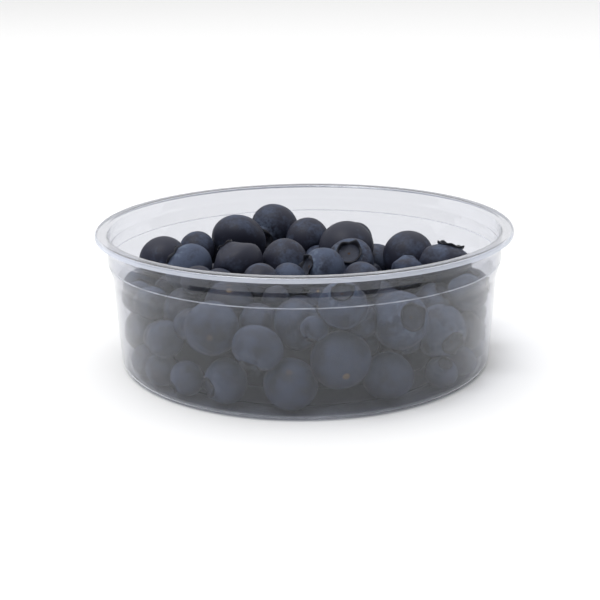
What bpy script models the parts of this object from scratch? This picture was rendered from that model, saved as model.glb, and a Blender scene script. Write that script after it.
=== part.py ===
"""A clear round deli tub, open at the top, with a heap of blueberries in it.

Metres, +Z up. The tub stands on the ring under its base, and the origin is the middle of that
ring. Two pieces: the thin turned tub, and the heap, whose berries are fused onto a smaller core.
"""

import math
import random

import bmesh
import bpy
from mathutils import Matrix, Vector

MM = 0.001

# The tub, in metres: radii and heights of the middle of its sheet.
SHEET = 0.4 * MM
HEIGHT = 38.6 * MM
RIM_RADIUS = 58.5 * MM
BASE_RADIUS = 53.0 * MM
BASE_ROUND = 2.0 * MM
PANEL_RADIUS = 44.0 * MM
PANEL_LIFT = 0.5 * MM
PANEL_SLOPE = 1.2 * MM
LEDGE_LOW = (54.0 * MM, 26.0 * MM)
LEDGE_HIGH = (55.25 * MM, 30.2 * MM)
LEDGE_ROUND = 3.0 * MM
NECK_RADIUS = 55.05 * MM
GROOVE_HEIGHT = 34.0 * MM
GROOVE_DEPTH = 0.25 * MM
GROOVE_REACH = 1.2 * MM
LIP_ROUND = 1.0 * MM
SMALL_ROUND = 0.6 * MM
SKIRT_DROP = 1.2 * MM
TUB_SIDES = 48
ARC_STEP = math.radians(46)

# The space inside the tub, in millimetres, with a little room to the sheet.
WALL_ROOM = 0.25
WALL_INSIDE = (
    # height, radius
    (0.0, BASE_RADIUS / MM - 2 * WALL_ROOM),
    (LEDGE_LOW[1] / MM, LEDGE_LOW[0] / MM - WALL_ROOM),
    (LEDGE_HIGH[1] / MM, NECK_RADIUS / MM - WALL_ROOM),
)
PANEL_REACH = PANEL_RADIUS / MM + 1.0
PANEL_TOP = 1.0
RING_TOP = 0.62

# The heap, in millimetres.
# The berries on top and along the front wall are laid by hand. Each row holds the middle's place
# (x, y, z), the width, the length along the crown's axis as a share of it, and where the crown points.
LAID = (
    # on top, from the left
    (-40.5, -1.0, 29.0, 13.6, 0.86, (0.45, 0.10, -0.85)),
    (-31.5, 12.0, 28.2, 10.8, 0.90, (0.30, 0.60, -0.70)),
    (-31.5, -12.5, 29.0, 13.8, 0.86, (-0.80, 0.05, 0.60)),
    (-28.5, -25.5, 29.0, 8.6, 0.85, (0.30, 0.30, -0.90)),
    (-20.0, 17.0, 29.5, 17.0, 0.83, (-0.25, -0.65, -0.70)),
    (-18.5, -12.0, 29.8, 14.8, 0.88, (-0.55, 0.35, 0.75)),
    (-9.0, 31.0, 30.0, 15.0, 0.92, (-0.50, -0.75, -0.30)),
    (-5.5, -6.5, 29.0, 12.8, 0.86, (0.15, 0.90, -0.50)),
    (-10.3, -25.5, 29.0, 9.6, 0.90, (0.20, 0.50, -0.80)),
    (-3.7, -22.0, 28.5, 9.2, 0.90, (-0.60, 0.10, -0.70)),
    (3.6, -18.5, 29.0, 12.8, 0.88, (-0.86, -0.38, 0.38)),
    (1.0, 20.0, 29.0, 12.8, 0.95, (0.10, 0.80, -0.60)),
    (12.3, 8.5, 29.0, 16.2, 0.88, (0.20, 0.60, -0.80)),
    (15.5, 22.0, 28.0, 10.4, 0.90, (0.40, 0.60, -0.50)),
    (13.0, -7.0, 28.5, 13.0, 0.86, (-0.15, -0.66, 0.74)),
    (19.5, 27.0, 19.0, 11.6, 0.90, (0.10, 0.90, -0.20)),
    (30.2, 6.0, 27.0, 14.6, 0.90, (0.30, 0.70, -0.70)),
    (28.6, -10.0, 27.3, 9.0, 0.90, (0.10, 0.40, 0.90)),
    (39.5, -6.5, 27.2, 14.8, 0.80, (0.25, 0.25, 0.93)),
    (15.0, -25.5, 28.5, 10.2, 0.88, (0.10, 0.70, -0.70)),
    # along the front wall, from the left
    (-46.5, -9.0, 19.7, 10.0, 0.90, (0.20, 0.50, 0.80)),
    (-45.2, -16.0, 12.0, 9.6, 0.90, (0.50, 0.50, 0.30)),
    (-43.2, -21.0, 5.2, 9.2, 0.90, (0.50, 0.50, 0.30)),
    (-41.5, -18.5, 21.0, 10.0, 0.90, (0.20, 0.50, 0.80)),
    (-38.3, -28.8, 5.2, 9.2, 0.90, (0.50, 0.50, 0.30)),
    (-36.8, -30.2, 14.2, 10.2, 0.90, (0.50, 0.80, -0.20)),
    (-31.0, -36.3, 5.7, 9.4, 0.90, (-0.70, -0.30, -0.30)),
    (-23.7, -39.5, 20.4, 14.0, 0.95, (0.00, 0.98, 0.05)),
    (-20.4, -41.5, 6.3, 11.8, 0.90, (-0.80, -0.55, -0.10)),
    (-11.3, -45.3, 16.2, 13.2, 0.82, (-0.35, -0.50, -0.75)),
    (-4.2, -45.0, 6.7, 13.8, 0.86, (0.00, 0.65, -0.76)),
    (-2.3, -38.5, 21.0, 13.4, 0.86, (0.90, 0.40, 0.20)),
    (8.4, -44.2, 12.7, 15.4, 0.93, (-0.17, 0.90, 0.30)),
    (9.2, -46.4, 28.2, 12.2, 0.90, (-0.05, -0.55, 0.83)),
    (20.6, -40.6, 6.7, 13.4, 0.90, (0.20, 0.50, 0.80)),
    (23.8, -39.2, 21.8, 14.8, 0.90, (0.44, -0.80, 0.39)),
    (35.5, -28.6, 14.2, 14.2, 0.90, (0.45, -0.85, -0.25)),
    (35.7, -32.1, 5.2, 8.8, 0.90, (0.20, -0.50, 0.80)),
    (41.6, -23.8, 5.2, 9.0, 0.90, (0.20, 0.50, 0.80)),
    (43.9, -18.7, 22.7, 11.0, 0.90, (0.20, 0.50, 0.80)),
    (46.0, -9.0, 14.5, 10.2, 0.90, (0.20, 0.50, 0.80)),
    (46.3, -11.0, 5.4, 9.4, 0.90, (0.20, 0.50, 0.80)),
)
LAID_ROUNDS = 30
LAID_GIVE = 0.15  # how easily a laid berry is pushed aside, where a poured one has 1
LAID_PULL = 0.05  # the share of the way back to its place that a laid berry goes in a round

# The rest is poured in, largest first, each into the lowest free place found for it.
SEED = 7
POURED = 130
LARGEST_POURED = 15.2
SMALLEST_POURED = 9.6
UNEVEN = 0.8
POURED_SHARES = (0.84, 0.95)  # the length along the crown's axis as a share of the width
PLACES_TRIED = 90
AWAY_FROM_WALL = 0.5  # the share of the places tried that aren't right at the wall
HAND_LAID_FRONT = -36.0  # nothing is poured nearer to the front than this
FILL_HEIGHT = 29.0
FILL_SLOPE = 0.257  # the heap gets lower towards the back
HIGHEST_POURED = 27.0
WALL_FALL = 5.0  # how much lower it gets towards the wall
UNDER_REACH = 7.0  # poured berries may lie this near under a high laid one
UNDER_DROP = 2.0
HIGH_LAID = 26.0

GAP = 0.3  # between the heap and the tub
PRESSED = 0.3  # how far two berries press into each other
SETTLE_ROUNDS = 120
SETTLE_FALL = 0.06

# The core that the berries are fused onto, in millimetres.
CORE_RADII = (14.0, 29.0, 44.0)
CORE_SIDES = 20
CORE_FLOOR = 4.0
CORE_DROP = 3.0
CORE_LOOK = 8.0
CORE_LOWEST_TOP = 9.0
CORE_SURE = 1.8  # how far inside the core's rim a berry has to reach to be surely held
FACET_SWELL = 1.03  # makes a faceted berry as big as a round one
FACET_REACH = 0.955  # how far the swollen berry's flattest face still reaches, as a share
SURE_HOLD = 0.2  # how far two pieces cross at least, to count as joined
LINK_ROOM = 1.4  # how far a link reaches into each berry that it joins
SHORTEST_EDGE = 0.3


def clear_scene():
    for thing in list(bpy.data.objects):
        bpy.data.objects.remove(thing)


def material(name, colour, roughness, transmission=0.0):
    made = bpy.data.materials.new(name)
    made.use_nodes = True
    shader = made.node_tree.nodes["Principled BSDF"]
    shader.inputs["Base Color"].default_value = (*colour, 1)
    shader.inputs["Roughness"].default_value = roughness
    shader.inputs["Transmission Weight"].default_value = transmission
    shader.inputs["Metallic"].default_value = 0
    made.diffuse_color = (*colour, 1)
    return made


def add_object(name, mesh, finish):
    mesh.materials.clear()
    mesh.materials.append(finish)
    mesh.shade_smooth()
    mesh.set_sharp_from_angle(angle=math.radians(35))
    made = bpy.data.objects.new(name, mesh)
    bpy.context.scene.collection.objects.link(made)
    return made


# ---- the tub


def rounded(corners):
    """The line through (radius, height, rounding) corners, with an arc at each rounded one."""
    line = [Vector(corners[0][:2])]
    for before, here, after in zip(corners, corners[1:], corners[2:]):
        corner, rounding = Vector(here[:2]), here[2]
        back = (Vector(before[:2]) - corner).normalized()
        on = (Vector(after[:2]) - corner).normalized()
        half = back.angle(on) / 2
        if not rounding:
            line.append(corner)
            continue
        centre = corner + (back + on).normalized() * rounding / math.sin(half)
        start = corner + back * rounding / math.tan(half) - centre
        turn = math.pi - 2 * half
        side = 1 if back.cross(on) < 0 else -1
        steps = math.ceil(turn / ARC_STEP)
        for step in range(steps + 1):
            line.append(centre + Matrix.Rotation(side * turn * step / steps, 2) @ start)
    line.append(Vector(corners[-1][:2]))
    return line


def sheet_outline(line, thickness):
    """The closed outline of a sheet that follows a line from the axis outwards."""
    inner, outer = [], []
    ways = [(after - before).normalized() for before, after in zip(line, line[1:])]
    for point, back, on in zip(line, ways[:1] + ways, ways + ways[-1:]):
        along = (back + on).normalized()
        across = Vector((along.y, -along.x)) * thickness / 2 / along.dot(on)
        outer.append(point + across)
        inner.append(point - across)
    return outer + inner[::-1]


def tub_mesh():
    half = SHEET / 2
    top = HEIGHT - half
    corners = (
        (0, half + PANEL_LIFT, 0),
        (PANEL_RADIUS, half + PANEL_LIFT, 0),
        (PANEL_RADIUS + PANEL_SLOPE, half, 0),
        (BASE_RADIUS - half, half, BASE_ROUND),
        (*LEDGE_LOW, LEDGE_ROUND),
        (*LEDGE_HIGH, SMALL_ROUND),
        (NECK_RADIUS, GROOVE_HEIGHT - GROOVE_REACH, 0),
        (NECK_RADIUS - GROOVE_DEPTH, GROOVE_HEIGHT, 0),
        (NECK_RADIUS, GROOVE_HEIGHT + GROOVE_REACH, 0),
        (NECK_RADIUS, top, LIP_ROUND),
        (RIM_RADIUS - half, top, SMALL_ROUND),
        (RIM_RADIUS - half, top - SKIRT_DROP, 0),
    )
    outline = sheet_outline(rounded(corners), SHEET)
    shape = bmesh.new()
    points = [shape.verts.new((point.x, 0, point.y)) for point in outline]
    edges = [shape.edges.new(pair) for pair in zip(points, points[1:])]
    bmesh.ops.spin(
        shape,
        geom=points + edges,
        cent=(0, 0, 0),
        axis=(0, 0, 1),
        angle=2 * math.pi,
        steps=TUB_SIDES,
        use_merge=True,
    )
    bmesh.ops.remove_doubles(shape, verts=shape.verts, dist=0.001 * MM)
    bmesh.ops.recalc_face_normals(shape, faces=shape.faces)
    mesh = bpy.data.meshes.new("tub")
    shape.to_mesh(mesh)
    shape.free()
    return mesh


# ---- laying out the heap, in millimetres


def wall_radius(z):
    """The tub's inside radius at a height."""
    for (low, narrow), (high, wide) in zip(WALL_INSIDE, WALL_INSIDE[1:]):
        if z < high:
            return narrow + (wide - narrow) * (z - low) / (high - low)
    return WALL_INSIDE[-1][1]


def floor_height(radius):
    return PANEL_TOP if radius < PANEL_REACH else RING_TOP


class Berry:
    """A berry as a ball flattened along its crown's axis."""

    def __init__(self, x, y, z, width, share, crown, give):
        self.place = [x, y, z]
        self.home = [x, y, z]
        self.wide = width / 2
        self.long = self.wide * share
        size = math.sqrt(sum(part * part for part in crown))
        self.crown = [part / size for part in crown]
        self.give = give

    def reach(self, x, y, z):
        """How far it reaches from its middle in a direction of length 1."""
        along = (x * self.crown[0] + y * self.crown[1] + z * self.crown[2]) ** 2
        return math.sqrt(self.wide**2 * (1 - along) + self.long**2 * along)


def push_apart(one, other):
    away = [b - a for a, b in zip(one.place, other.place)]
    most = one.wide + other.wide
    if max(away) > most or min(away) < -most:
        return
    distance = math.sqrt(sum(part * part for part in away))
    if distance > most:
        return
    away = [part / distance for part in away]
    crossing = one.reach(*away) + other.reach(*away) - distance - PRESSED
    if crossing > 0:
        share = crossing / (one.give + other.give)
        for axis in range(3):
            one.place[axis] -= away[axis] * share * one.give
            other.place[axis] += away[axis] * share * other.give


def keep_inside(berry):
    x, y, z = berry.place
    radius = math.hypot(x, y)
    berry.place[2] = max(z, floor_height(radius) + GAP + berry.reach(0, 0, 1))
    if radius:
        most = wall_radius(z) - GAP - berry.reach(x / radius, y / radius, 0)
        if radius > most:
            berry.place[0] *= most / radius
            berry.place[1] *= most / radius


def settle(berries, rounds, fall):
    """Lets the berries sink and push each other aside until they lie against each other."""
    for turn in range(rounds):
        for berry in berries:
            berry.place[2] -= fall * (1 - turn / rounds) * berry.give
            if berry.give < 1:
                berry.place = [p + (h - p) * LAID_PULL for p, h in zip(berry.place, berry.home)]
        for index, berry in enumerate(berries):
            for other in berries[index + 1 :]:
                push_apart(berry, other)
        for berry in berries:
            keep_inside(berry)


def highest_top(x, y, berries):
    """How high a poured berry may reach over a place."""
    near_wall = (math.hypot(x, y) / wall_radius(0)) ** 4
    most = min(FILL_HEIGHT - FILL_SLOPE * y, HIGHEST_POURED - WALL_FALL * near_wall)
    for berry in berries:
        high = berry.give < 1 and berry.place[2] > HIGH_LAID
        if high and math.hypot(berry.place[0] - x, berry.place[1] - y) < UNDER_REACH:
            most = max(most, berry.place[2] - UNDER_DROP)
    return most


def lowest_free(x, y, radius, berries):
    """The lowest height at which a ball is free of the other berries, or None above the fill."""
    z = floor_height(math.hypot(x, y)) + GAP + radius
    top = highest_top(x, y, berries) - radius
    while z < top:
        rest = z
        for berry in berries:
            apart = (berry.wide + berry.long) / 2 + radius - 2 * PRESSED
            room = apart**2 - (berry.place[0] - x) ** 2 - (berry.place[1] - y) ** 2
            if room > 0 and abs(berry.place[2] - z) < math.sqrt(room) - 1e-6:
                rest = berry.place[2] + math.sqrt(room)
                break
        if rest == z:
            return z
        z = rest
    return None


def pour(berries, chance):
    for index in range(POURED):
        shrink = (LARGEST_POURED - SMALLEST_POURED) * index / POURED
        width = LARGEST_POURED - shrink + chance.uniform(-UNEVEN, UNEVEN)
        radius = width / 2 * POURED_SHARES[1]
        best = None
        for _ in range(PLACES_TRIED):
            turn = chance.uniform(0, 2 * math.pi)
            out = wall_radius(0) - GAP - radius
            if chance.random() < AWAY_FROM_WALL:
                out *= math.sqrt(chance.random())
            x, y = out * math.cos(turn), out * math.sin(turn)
            z = None if y < HAND_LAID_FRONT else lowest_free(x, y, radius, berries)
            if z is not None and (best is None or z < best[2]):
                best = (x, y, z)
        if best:
            crown = [chance.gauss(0, 1) for _ in range(3)]
            berries.append(Berry(*best, width, chance.uniform(*POURED_SHARES), crown, 1))


def lay_heap():
    berries = [Berry(*row, LAID_GIVE) for row in LAID]
    settle(berries, LAID_ROUNDS, 0)
    pour(berries, random.Random(SEED))
    settle(berries, SETTLE_ROUNDS, SETTLE_FALL)
    return berries


# ---- the heap's solid


def core_top(x, y, berries):
    """The core's height over a place: a little under the middle of the highest berry there."""
    near = [b.place[2] for b in berries if math.hypot(b.place[0] - x, b.place[1] - y) < CORE_LOOK]
    return max([CORE_LOWEST_TOP + CORE_DROP, *near]) - CORE_DROP


def core_mesh(berries):
    """A round block with an uneven top, from rings of points that an upper and a lower skin share."""
    shape = bmesh.new()

    def point(radius, turn, z):
        return shape.verts.new((radius * math.cos(turn) * MM, radius * math.sin(turn) * MM, z * MM))

    turns = [2 * math.pi * side / CORE_SIDES for side in range(CORE_SIDES)]
    rings = []
    for radius in CORE_RADII:
        heights = [core_top(radius * math.cos(t), radius * math.sin(t), berries) for t in turns]
        rings.append([point(radius, t, z) for t, z in zip(turns, heights)])
    rings.append([point(CORE_RADII[-1], t, CORE_FLOOR) for t in turns])
    middle = point(0, 0, core_top(0, 0, berries))
    for side in range(CORE_SIDES):
        following = (side + 1) % CORE_SIDES
        shape.faces.new((middle, rings[0][side], rings[0][following]))
        for inner, outer in zip(rings, rings[1:]):
            shape.faces.new((inner[side], outer[side], outer[following], inner[following]))
    shape.faces.new(rings[-1][::-1])
    bmesh.ops.triangulate(shape, faces=shape.faces)
    bmesh.ops.recalc_face_normals(shape, faces=shape.faces)
    mesh = bpy.data.meshes.new("core")
    shape.to_mesh(mesh)
    shape.free()
    return mesh


def shows(berry, berries):
    """Whether a berry comes out of the core."""
    x, y, z = berry.place
    radius = math.hypot(x, y)
    deep = z + berry.wide < core_top(x, y, berries)
    return not deep or radius + berry.wide > CORE_RADII[-1] or z - berry.wide < CORE_FLOOR


def held_by_core(berry):
    """Whether a berry surely crosses the core."""
    x, y, z = berry.place
    reach = berry.long * FACET_REACH - SURE_HOLD
    return math.hypot(x, y) - reach < CORE_RADII[-1] - CORE_SURE and z + reach > CORE_FLOOR


def links(berries):
    """The (place, radius) of small balls that join berries standing clear of all others to them."""
    held = [berry for berry in berries if held_by_core(berry)]
    loose = [berry for berry in berries if berry not in held]
    made = []
    while loose:
        space, one, other = min(
            ((space_between(one, other), one, other) for one in loose for other in held),
            key=lambda found: found[0],
        )
        if space > -SURE_HOLD:
            start, end = Vector(one.place), Vector(other.place)
            away = (end - start).normalized()
            middle = start + away * (one.reach(*away) * FACET_REACH + space / 2)
            made.append((middle, max(space, 0) / 2 + LINK_ROOM))
        loose.remove(one)
        held.append(one)
    return made


def space_between(one, other):
    away = Vector(other.place) - Vector(one.place)
    distance = away.length
    away /= distance
    return distance - FACET_REACH * (one.reach(*away) + other.reach(*away))


def ball_mesh(matrix, subdivisions):
    """A faceted ball, sized and placed by a matrix in millimetres, that stays off the tub."""
    shape = bmesh.new()
    bmesh.ops.create_icosphere(shape, subdivisions=subdivisions, radius=1, matrix=matrix)
    for vert in shape.verts:
        x, y, z = vert.co
        inwards = min(1, (wall_radius(z) - GAP) / max(math.hypot(x, y), 1))
        vert.co = Vector((x * inwards, y * inwards, z)) * MM
    mesh = bpy.data.meshes.new("ball")
    shape.to_mesh(mesh)
    shape.free()
    return mesh


def berry_mesh(berry):
    turned = Vector(berry.crown).to_track_quat("Z", "Y").to_matrix().to_4x4()
    sized = Matrix.Diagonal((berry.wide, berry.wide, berry.long, 1))
    placed = Matrix.Translation(berry.place)
    return ball_mesh(placed @ turned @ sized @ Matrix.Scale(FACET_SWELL, 4), 2)


def link_mesh(place, radius):
    return ball_mesh(Matrix.Translation(place) @ Matrix.Scale(radius, 4), 1)


def fuse(core, meshes):
    """Joins the meshes to the core by one union, and leaves neither pieces nor sealed hollows."""
    gathered = bpy.data.collections.new("to fuse")
    bpy.context.scene.collection.children.link(gathered)
    pieces = [bpy.data.objects.new("berry", mesh) for mesh in meshes]
    for piece in pieces:
        gathered.objects.link(piece)
    joining = core.modifiers.new("Fuse", "BOOLEAN")
    joining.operation = "UNION"
    joining.operand_type = "COLLECTION"
    joining.solver = "EXACT"
    joining.collection = gathered
    bpy.context.view_layer.update()
    joined = core.evaluated_get(bpy.context.evaluated_depsgraph_get())
    whole = bpy.data.meshes.new_from_object(joined)
    core.modifiers.remove(joining)
    for piece in pieces:
        bpy.data.objects.remove(piece)
    bpy.data.collections.remove(gathered)
    keep_largest(whole)
    core.data = whole


def keep_largest(mesh):
    """Drops every shell but the largest: a sealed hollow is filled, and a loose scrap goes."""
    shape = bmesh.new()
    shape.from_mesh(mesh)
    left = set(shape.verts)
    shells = []
    while left:
        shell, edge = set(), [left.pop()]
        while edge:
            point = edge.pop()
            shell.add(point)
            near = {link.other_vert(point) for link in point.link_edges} - shell
            edge += near & left
            left -= near
        shells.append(shell)
    shells.sort(key=len)
    scrap = [point for shell in shells[:-1] for point in shell]
    bmesh.ops.delete(shape, geom=scrap, context="VERTS")
    bmesh.ops.triangulate(shape, faces=shape.faces)
    drop_short_edges(shape)
    shape.to_mesh(mesh)
    shape.free()


def drop_short_edges(shape):
    """Collapses the tiny edges that a union leaves, wherever the skin stays whole."""
    for edge in list(shape.edges):
        if edge.is_valid and edge.calc_length() < SHORTEST_EDGE * MM:
            one, other = (
                {link.other_vert(end) for link in end.link_edges} for end in edge.verts
            )
            if len(one & other) == 2:
                bmesh.ops.collapse(shape, edges=[edge])


def main():
    clear_scene()
    clear_plastic = material("clear plastic", (0.86, 0.88, 0.91), 0.08, transmission=0.9)
    berry_skin = material("blueberry skin", (0.035, 0.045, 0.085), 0.55)
    add_object("tub", tub_mesh(), clear_plastic)
    berries = lay_heap()
    heap = add_object("blueberries", core_mesh(berries), berry_skin)
    shown = [berry for berry in berries if shows(berry, berries)]
    fuse(heap, [berry_mesh(berry) for berry in shown] + [link_mesh(*link) for link in links(shown)])


main()
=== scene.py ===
"""The looks of a clear round deli tub of blueberries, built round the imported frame.

Metres, +Z up, the tub standing on z = 0. The tub is turned again with fine steps. The berries lie
where the frame's heap has them, each with its crown, its stem scar and its dusty bloom, with small
ones in the gaps between them and a dark core inside.
"""

import math
import random

import bmesh
import bpy
import numpy as np
from mathutils import Matrix, Vector

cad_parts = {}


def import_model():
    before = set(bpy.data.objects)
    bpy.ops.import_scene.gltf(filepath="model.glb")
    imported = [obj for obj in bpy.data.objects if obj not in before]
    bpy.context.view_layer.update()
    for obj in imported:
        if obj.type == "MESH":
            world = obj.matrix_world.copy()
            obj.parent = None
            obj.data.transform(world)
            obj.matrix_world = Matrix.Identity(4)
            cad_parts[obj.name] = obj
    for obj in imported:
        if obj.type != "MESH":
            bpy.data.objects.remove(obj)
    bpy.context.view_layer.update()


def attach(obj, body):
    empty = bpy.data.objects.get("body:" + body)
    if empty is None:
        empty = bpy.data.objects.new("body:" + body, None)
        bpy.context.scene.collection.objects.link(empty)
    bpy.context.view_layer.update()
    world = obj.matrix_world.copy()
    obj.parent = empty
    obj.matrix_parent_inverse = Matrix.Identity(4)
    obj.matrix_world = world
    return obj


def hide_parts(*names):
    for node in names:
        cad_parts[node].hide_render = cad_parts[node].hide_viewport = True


MM = 0.001

# The tub's sheet, as in the frame: radii and heights of its middle, in metres.
SHEET = 0.4 * MM
HEIGHT = 38.6 * MM
RIM_RADIUS = 58.5 * MM
BASE_RADIUS = 53.0 * MM
BASE_ROUND = 2.0 * MM
PANEL_RADIUS = 44.0 * MM
PANEL_LIFT = 0.5 * MM
PANEL_SLOPE = 1.2 * MM
LEDGE_LOW = (54.0 * MM, 26.0 * MM)
LEDGE_HIGH = (55.25 * MM, 30.2 * MM)
LEDGE_ROUND = 3.0 * MM
NECK_RADIUS = 55.05 * MM
GROOVE_HEIGHT = 34.0 * MM
GROOVE_DEPTH = 0.25 * MM
GROOVE_REACH = 1.2 * MM
LIP_ROUND = 1.0 * MM
SMALL_ROUND = 0.6 * MM
SKIRT_DROP = 1.2 * MM
TUB_SIDES = 180
ARC_STEP = math.radians(11)

# The space inside the tub, in millimetres, with a little room to the sheet.
WALL_ROOM = 0.25
WALL_INSIDE = (
    # height, radius
    (0.0, BASE_RADIUS / MM - 2 * WALL_ROOM),
    (LEDGE_LOW[1] / MM, LEDGE_LOW[0] / MM - WALL_ROOM),
    (LEDGE_HIGH[1] / MM, NECK_RADIUS / MM - WALL_ROOM),
)
PANEL_REACH = PANEL_RADIUS / MM + 1.0
PANEL_TOP = 1.0
RING_TOP = 0.62

# The heap, in millimetres, as in the frame.
# Each laid berry's row holds the middle's place (x, y, z), the width, the length along the crown's
# axis as a share of it and where the crown points. Then come how dusty the berry is, how wide its
# crown is and how high the crown's lobes stand, as shares of half the width, and how plain its stem
# scar is.
LAID = (
    # on top, from the left
    (-40.5, -1.0, 29.0, 13.6, 0.86, (0.45, 0.10, -0.85), 0.25, 0.40, 0.10, 0.0),
    (-31.5, 12.0, 28.2, 10.8, 0.90, (0.30, 0.60, -0.70), 0.50, 0.40, 0.10, 0.0),
    (-31.5, -12.5, 29.0, 13.8, 0.86, (-0.80, 0.05, 0.60), 1.35, 0.44, 0.14, 0.0),
    (-28.5, -25.5, 29.0, 8.6, 0.85, (0.30, 0.30, -0.90), 0.55, 0.40, 0.10, 0.0),
    (-20.0, 17.0, 29.5, 17.0, 0.83, (-0.25, -0.65, -0.70), 0.38, 0.40, 0.08, 0.0),
    (-18.5, -12.0, 29.8, 14.8, 0.88, (-0.55, 0.35, 0.75), 0.12, 0.30, 0.04, 0.0),
    (-9.0, 31.0, 30.0, 15.0, 0.92, (-0.50, -0.75, -0.30), 0.55, 0.42, 0.10, 0.0),
    (-5.5, -6.5, 29.0, 12.8, 0.86, (0.15, 0.90, -0.50), 0.50, 0.40, 0.10, 0.0),
    (-10.3, -25.5, 29.0, 9.6, 0.90, (0.20, 0.50, -0.80), 0.50, 0.40, 0.10, 0.0),
    (-3.7, -22.0, 28.5, 9.2, 0.90, (-0.60, 0.10, -0.70), 1.10, 0.40, 0.10, 0.0),
    (3.6, -18.5, 29.0, 12.8, 0.88, (-0.86, -0.38, 0.38), 1.10, 0.46, 0.13, 0.0),
    (1.0, 20.0, 29.0, 12.8, 0.95, (0.10, 0.80, -0.60), 0.40, 0.40, 0.10, 0.0),
    (12.3, 8.5, 29.0, 16.2, 0.88, (0.20, 0.60, -0.80), 0.02, 0.40, 0.10, 0.0),
    (15.5, 22.0, 28.0, 10.4, 0.90, (0.40, 0.60, -0.50), 0.40, 0.40, 0.10, 0.0),
    (13.0, -7.0, 28.5, 13.0, 0.86, (-0.15, -0.66, 0.74), 0.55, 0.52, 0.14, 0.0),
    (19.5, 27.0, 19.0, 11.6, 0.90, (0.10, 0.90, -0.20), 0.30, 0.40, 0.10, 0.0),
    (30.2, 6.0, 27.0, 14.6, 0.90, (0.30, 0.70, -0.70), 0.40, 0.40, 0.10, 0.0),
    (28.6, -10.0, 27.3, 9.0, 0.90, (0.10, 0.40, 0.90), 0.80, 0.30, 0.03, 0.0),
    (39.5, -6.5, 27.2, 14.8, 0.80, (0.25, 0.25, 0.93), 0.50, 0.47, 0.14, 0.0),
    (15.0, -25.5, 28.5, 10.2, 0.88, (0.10, 0.70, -0.70), 0.50, 0.40, 0.10, 0.0),
    # along the front wall, from the left
    (-46.5, -9.0, 19.7, 10.0, 0.90, (0.20, 0.50, 0.80), 0.92, 0.40, 0.10, 0.0),
    (-45.2, -16.0, 12.0, 9.6, 0.90, (0.50, 0.50, 0.30), 0.92, 0.40, 0.10, 0.0),
    (-43.2, -21.0, 5.2, 9.2, 0.90, (0.50, 0.50, 0.30), 0.92, 0.40, 0.10, 0.0),
    (-41.5, -18.5, 21.0, 10.0, 0.90, (0.20, 0.50, 0.80), 0.92, 0.40, 0.10, 0.0),
    (-38.3, -28.8, 5.2, 9.2, 0.90, (0.50, 0.50, 0.30), 0.92, 0.40, 0.10, 0.0),
    (-36.8, -30.2, 14.2, 10.2, 0.90, (0.50, 0.80, -0.20), 0.97, 0.40, 0.10, 0.0),
    (-31.0, -36.3, 5.7, 9.4, 0.90, (-0.70, -0.30, -0.30), 0.92, 0.40, 0.10, 0.0),
    (-23.7, -39.5, 20.4, 14.0, 0.95, (0.00, 0.98, 0.05), 0.87, 0.40, 0.10, 0.3),
    (-20.4, -41.5, 6.3, 11.8, 0.90, (-0.80, -0.55, -0.10), 1.25, 0.42, 0.12, 0.0),
    (-11.3, -45.3, 16.2, 13.2, 0.82, (-0.35, -0.50, -0.75), 0.92, 0.44, 0.12, 0.0),
    (-4.2, -45.0, 6.7, 13.8, 0.86, (0.00, 0.65, -0.76), 0.82, 0.40, 0.10, 0.25),
    (-2.3, -38.5, 21.0, 13.4, 0.86, (0.90, 0.40, 0.20), 0.87, 0.40, 0.10, 0.0),
    (8.4, -44.2, 12.7, 15.4, 0.93, (-0.17, 0.90, 0.30), 0.97, 0.40, 0.10, 1.0),
    (9.2, -46.4, 28.2, 12.2, 0.90, (-0.05, -0.55, 0.83), 1.02, 0.44, 0.14, 0.0),
    (20.6, -40.6, 6.7, 13.4, 0.90, (0.20, 0.50, 0.80), 0.97, 0.40, 0.10, 0.0),
    (23.8, -39.2, 21.8, 14.8, 0.90, (0.44, -0.80, 0.39), 0.97, 0.46, 0.12, 0.0),
    (35.5, -28.6, 14.2, 14.2, 0.90, (0.45, -0.85, -0.25), 1.12, 0.44, 0.12, 0.0),
    (35.7, -32.1, 5.2, 8.8, 0.90, (0.20, -0.50, 0.80), 0.92, 0.40, 0.10, 0.0),
    (41.6, -23.8, 5.2, 9.0, 0.90, (0.20, 0.50, 0.80), 0.92, 0.40, 0.10, 0.0),
    (43.9, -18.7, 22.7, 11.0, 0.90, (0.20, 0.50, 0.80), 0.97, 0.40, 0.10, 0.0),
    (46.0, -9.0, 14.5, 10.2, 0.90, (0.20, 0.50, 0.80), 0.92, 0.40, 0.10, 0.0),
    (46.3, -11.0, 5.4, 9.4, 0.90, (0.20, 0.50, 0.80), 0.92, 0.40, 0.10, 0.0),
)
LAID_ROUNDS = 30
LAID_GIVE = 0.15
LAID_PULL = 0.05
SEED = 7
POURED = 130
LARGEST_POURED = 15.2
SMALLEST_POURED = 9.6
UNEVEN = 0.8
POURED_SHARES = (0.84, 0.95)
PLACES_TRIED = 90
AWAY_FROM_WALL = 0.5
HAND_LAID_FRONT = -36.0
FILL_HEIGHT = 29.0
FILL_SLOPE = 0.257
HIGHEST_POURED = 27.0
WALL_FALL = 5.0
UNDER_REACH = 7.0
UNDER_DROP = 2.0
HIGH_LAID = 26.0
GAP = 0.3
PRESSED = 0.3
SETTLE_ROUNDS = 120
SETTLE_FALL = 0.06

# Where the sheet is made whiter. Along the ledge's bend, a painted highlight line: the heights
# where it starts, is full and ends, and how unevenly it is broken up.
# At the skirt, a milk-white band: from which radius on and from which height down. All in
# millimetres.
FOLD_HIGHLIGHT_HEIGHTS = (29.9, 30.15, 30.4)
FOLD_HIGHLIGHT_BREAKUP = 260.0
FOLD_HIGHLIGHT_UNEVEN = 0.5
FOLD_HIGHLIGHT_LEAST = 0.05
SKIRT_FROM = (57.6, 58.0)
SKIRT_UNDER = (38.3, 38.0)
SKIRT_MILKY = 0.42
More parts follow.
